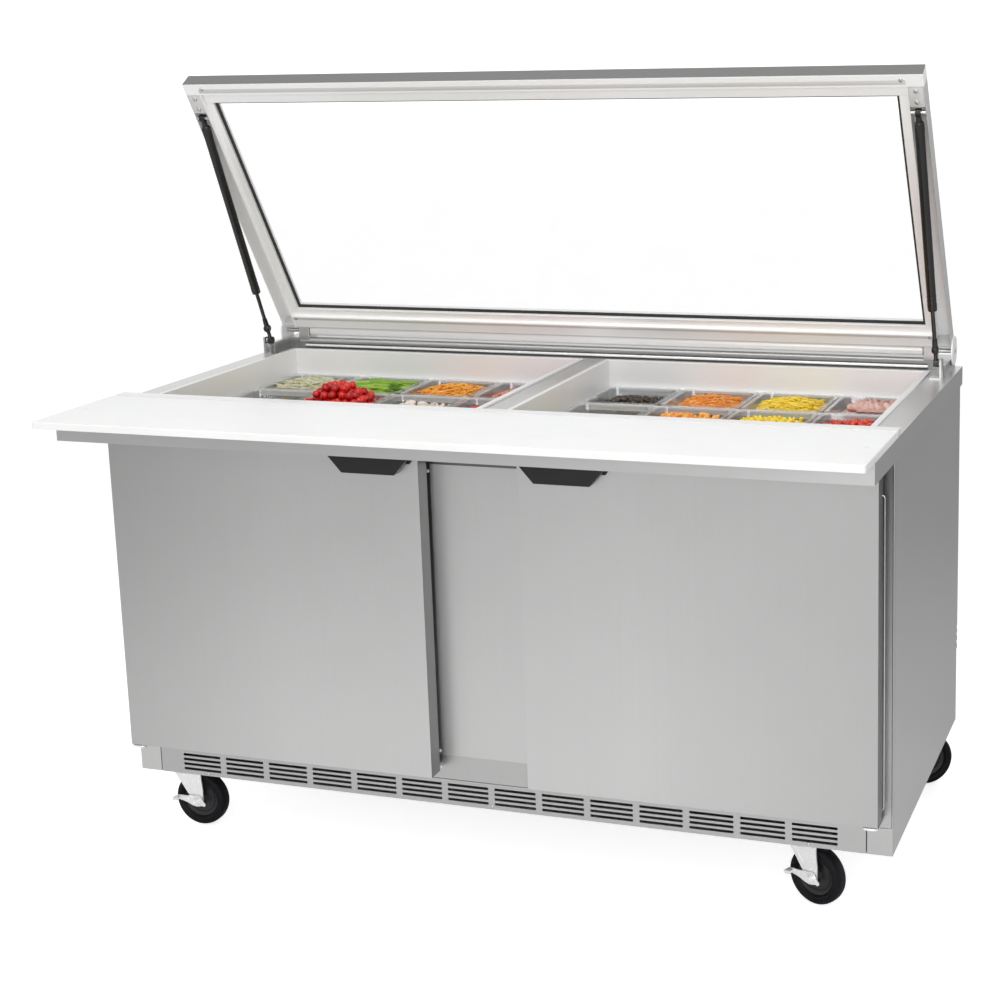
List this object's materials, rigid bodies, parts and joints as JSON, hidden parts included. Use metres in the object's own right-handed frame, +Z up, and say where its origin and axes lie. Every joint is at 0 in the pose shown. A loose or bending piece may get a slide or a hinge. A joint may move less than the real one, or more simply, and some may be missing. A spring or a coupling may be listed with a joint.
{
  "type": "sandwich prep table",
  "caption": "Refrigerated steel prep table on casters: two swing doors, a cutting board along the front and an open glass lid on gas struts over wells of clear pans.",
  "frame": {"origin": "on the floor, midway between the sides and midway between the cutting board's front edge and the back of the steel top", "axes": "+X to the right as seen from the front, +Y to the back, +Z up"},
  "size_m": [1.524, 0.962, 1.4896],
  "materials": {
    "brushed_steel": "vertical satin grain",
    "liner_steel": "fine satin, brighter than the outside",
    "galvanised_steel": "galvanised sheet",
    "foam_lining": "smooth pale lining",
    "door_lining": "smooth pale lining",
    "seal_rubber": "soft black",
    "handle_plastic": "glossy black moulding",
    "hinge_steel": "plated steel",
    "clear_plastic": "clear polycarbonate",
    "white_board": "fine pebbled polyethylene",
    "white_rail": "smooth white edge strip",
    "lid_aluminium": "satin anodised extrusion",
    "lid_glass": "clear tempered pane",
    "strut_black": "satin black enamel",
    "strut_rod_steel": "black coated rod",
    "shelf_wire": "epoxy coated wire",
    "unit_black": "black enamel",
    "fan_plastic": "moulded plastic",
    "evaporator_aluminium": "mill finish fins and housing",
    "caster_zinc": "bright zinc plate",
    "caster_rubber": "black rubber"
  },
  "bodies": {
    "root": {"side_panel_left": "brushed_steel", "side_panel_right": "brushed_steel", "back_panel": "brushed_steel", "face_frame": "brushed_steel", "mullion_panel": "brushed_steel", "front_grille": "brushed_steel", "steel_top": "brushed_steel", "well_liner_left": "liner_steel", "well_liner_right": "liner_steel", "pan_divider_bars": "liner_steel", "hinge_riser": "liner_steel", "base_plate": "galvanised_steel", "shelf_supports": "galvanised_steel", "insulated_walls": "foam_lining", "door_hinge_brackets": "hinge_steel", "hinge_rod": "hinge_steel", "strut_deck_brackets": "hinge_steel", "board_rail": "white_rail", "wire_shelves": "shelf_wire", "condensing_unit": "unit_black", "temperature_control": "fan_plastic", "evaporator": "evaporator_aluminium", "caster_plates": "caster_zinc"},
    "door_left": {"door_shell_left": "brushed_steel", "door_liner_left": "door_lining", "door_gasket_left": "seal_rubber", "door_handle_left": "handle_plastic"},
    "door_right": {"door_shell_right": "brushed_steel", "door_liner_right": "door_lining", "door_gasket_right": "seal_rubber", "door_handle_right": "handle_plastic"},
    "lid": {"lid_front_rail": "lid_aluminium", "lid_side_rails": "lid_aluminium", "lid_rear_rail": "lid_aluminium", "lid_glass": "lid_glass", "lid_glass_gasket": "seal_rubber", "lid_hinge_discs": "lid_aluminium", "strut_lid_pins": "hinge_steel"},
    "strut_tube_left": {"strut_tube_left": "strut_black"},
    "strut_rod_left": {"strut_rod_left": "strut_rod_steel"},
    "strut_tube_right": {"strut_tube_right": "strut_black"},
    "strut_rod_right": {"strut_rod_right": "strut_rod_steel"},
    "cutting_board": {"cutting_board": "white_board"},
    "pans_left_front": {"pans_left_front": "clear_plastic"},
    "pans_left_middle": {"pans_left_middle": "clear_plastic"},
    "pans_left_rear": {"pans_left_rear": "clear_plastic"},
    "pans_right_front": {"pans_right_front": "clear_plastic"},
    "pans_right_middle": {"pans_right_middle": "clear_plastic"},
    "pans_right_rear": {"pans_right_rear": "clear_plastic"},
    "condenser_fan": {"condenser_fan": "fan_plastic"},
    "caster_front_left": {"caster_fork_front_left": "caster_zinc"},
    "wheel_front_left": {"caster_wheel_front_left": "caster_rubber"},
    "caster_front_right": {"caster_fork_front_right": "caster_zinc"},
    "wheel_front_right": {"caster_wheel_front_right": "caster_rubber"},
    "caster_rear_left": {"caster_fork_rear_left": "caster_zinc"},
    "wheel_rear_left": {"caster_wheel_rear_left": "caster_rubber"},
    "caster_rear_right": {"caster_fork_rear_right": "caster_zinc"},
    "wheel_rear_right": {"caster_wheel_rear_right": "caster_rubber"},
    "brake_front_left": {"brake_lever_front_left": "caster_zinc"},
    "brake_front_right": {"brake_lever_front_right": "caster_zinc"}
  },
  "joints": [
    {"name": "door_left_hinge", "type": "hinge", "parent": "root", "child": "door_left", "pos_m": [-0.729, -0.265, 0.204], "axis": [0, 0, -1], "range_deg": [0, 110], "stiffness_Nm_per_rad": 1.5, "springref_deg": -8.59},
    {"name": "door_right_hinge", "type": "hinge", "parent": "root", "child": "door_right", "pos_m": [0.729, -0.265, 0.204], "axis": [0, 0, 1], "range_deg": [0, 110], "stiffness_Nm_per_rad": 1.5, "springref_deg": -8.59},
    {"name": "lid_hinge", "type": "hinge", "parent": "root", "child": "lid", "pos_m": [0, 0.441, 0.917], "axis": [1, 0, 0], "range_deg": [0, 57.43]},
    {"name": "strut_left_pivot", "type": "hinge", "parent": "lid", "child": "strut_tube_left", "pos_m": [-0.733, 0.11708, 1.40366], "axis": [1, 0, 0], "range_deg": [-0.5, 9.82]},
    {"name": "strut_left_slide", "type": "slide", "parent": "strut_tube_left", "child": "strut_rod_left", "axis": [0, 0.4027, -0.9153], "range_m": [-0.0624, 0.001]},
    {"name": "strut_right_pivot", "type": "hinge", "parent": "lid", "child": "strut_tube_right", "pos_m": [0.733, 0.11708, 1.40366], "axis": [1, 0, 0], "range_deg": [-0.5, 9.82]},
    {"name": "strut_right_slide", "type": "slide", "parent": "strut_tube_right", "child": "strut_rod_right", "axis": [0, 0.4027, -0.9153], "range_m": [-0.0624, 0.001]},
    {"name": "cutting_board_lift", "type": "slide", "parent": "root", "child": "cutting_board", "axis": [0, 0, -1], "range_m": [-0.15, 0]},
    {"name": "pans_left_front_lift", "type": "slide", "parent": "root", "child": "pans_left_front", "axis": [0, 0, -1], "range_m": [-0.18, 0]},
    {"name": "pans_left_middle_lift", "type": "slide", "parent": "root", "child": "pans_left_middle", "axis": [0, 0, -1], "range_m": [-0.18, 0]},
    {"name": "pans_left_rear_lift", "type": "slide", "parent": "root", "child": "pans_left_rear", "axis": [0, 0, -1], "range_m": [-0.13, 0]},
    {"name": "pans_right_front_lift", "type": "slide", "parent": "root", "child": "pans_right_front", "axis": [0, 0, -1], "range_m": [-0.18, 0]},
    {"name": "pans_right_middle_lift", "type": "slide", "parent": "root", "child": "pans_right_middle", "axis": [0, 0, -1], "range_m": [-0.18, 0]},
    {"name": "pans_right_rear_lift", "type": "slide", "parent": "root", "child": "pans_right_rear", "axis": [0, 0, -1], "range_m": [-0.13, 0]},
    {"name": "caster_front_left_swivel", "type": "hinge", "parent": "root", "child": "caster_front_left", "pos_m": [-0.688, -0.166, 0.12], "axis": [0, 0, 1], "continuous": true},
    {"name": "wheel_front_left_spin", "type": "hinge", "parent": "caster_front_left", "child": "wheel_front_left", "pos_m": [-0.664, -0.166, 0.055], "axis": [0, -1, 0], "continuous": true},
    {"name": "brake_front_left_press", "type": "hinge", "parent": "caster_front_left", "child": "brake_front_left", "pos_m": [-0.664, -0.166, 0.055], "axis": [0, -1, 0], "range_deg": [0, 16]},
    {"name": "caster_front_right_swivel", "type": "hinge", "parent": "root", "child": "caster_front_right", "pos_m": [0.59, -0.166, 0.12], "axis": [0, 0, 1], "continuous": true},
    {"name": "wheel_front_right_spin", "type": "hinge", "parent": "caster_front_right", "child": "wheel_front_right", "pos_m": [0.61241, -0.1746, 0.055], "axis": [-0.3584, -0.9336, 0], "continuous": true},
    {"name": "brake_front_right_press", "type": "hinge", "parent": "caster_front_right", "child": "brake_front_right", "pos_m": [0.61241, -0.1746, 0.055], "axis": [-0.3584, -0.9336, 0], "range_deg": [0, 16]},
    {"name": "caster_rear_left_swivel", "type": "hinge", "parent": "root", "child": "caster_rear_left", "pos_m": [-0.684, 0.412, 0.12], "axis": [0, 0, 1], "continuous": true},
    {"name": "wheel_rear_left_spin", "type": "hinge", "parent": "caster_rear_left", "child": "wheel_rear_left", "pos_m": [-0.70413, 0.42507, 0.055], "axis": [0.5446, 0.8387, 0], "continuous": true},
    {"name": "caster_rear_right_swivel", "type": "hinge", "parent": "root", "child": "caster_rear_right", "pos_m": [0.684, 0.412, 0.12], "axis": [0, 0, 1], "continuous": true},
    {"name": "wheel_rear_right_spin", "type": "hinge", "parent": "caster_rear_right", "child": "wheel_rear_right", "pos_m": [0.70413, 0.42507, 0.055], "axis": [0.5446, -0.8387, 0], "continuous": true},
    {"name": "condenser_fan_spin", "type": "hinge", "parent": "root", "child": "condenser_fan", "pos_m": [0.22, 0.374, 0.2385], "axis": [0, 1, 0], "continuous": true}
  ],
  "couplings": [
    {"joint": "strut_left_pivot", "follows": "lid_hinge", "ratio": 0.16235},
    {"joint": "strut_left_slide", "follows": "lid_hinge", "m_per_rad": -0.06125},
    {"joint": "strut_right_pivot", "follows": "lid_hinge", "ratio": 0.16235},
    {"joint": "strut_right_slide", "follows": "lid_hinge", "m_per_rad": -0.06125}
  ]
}
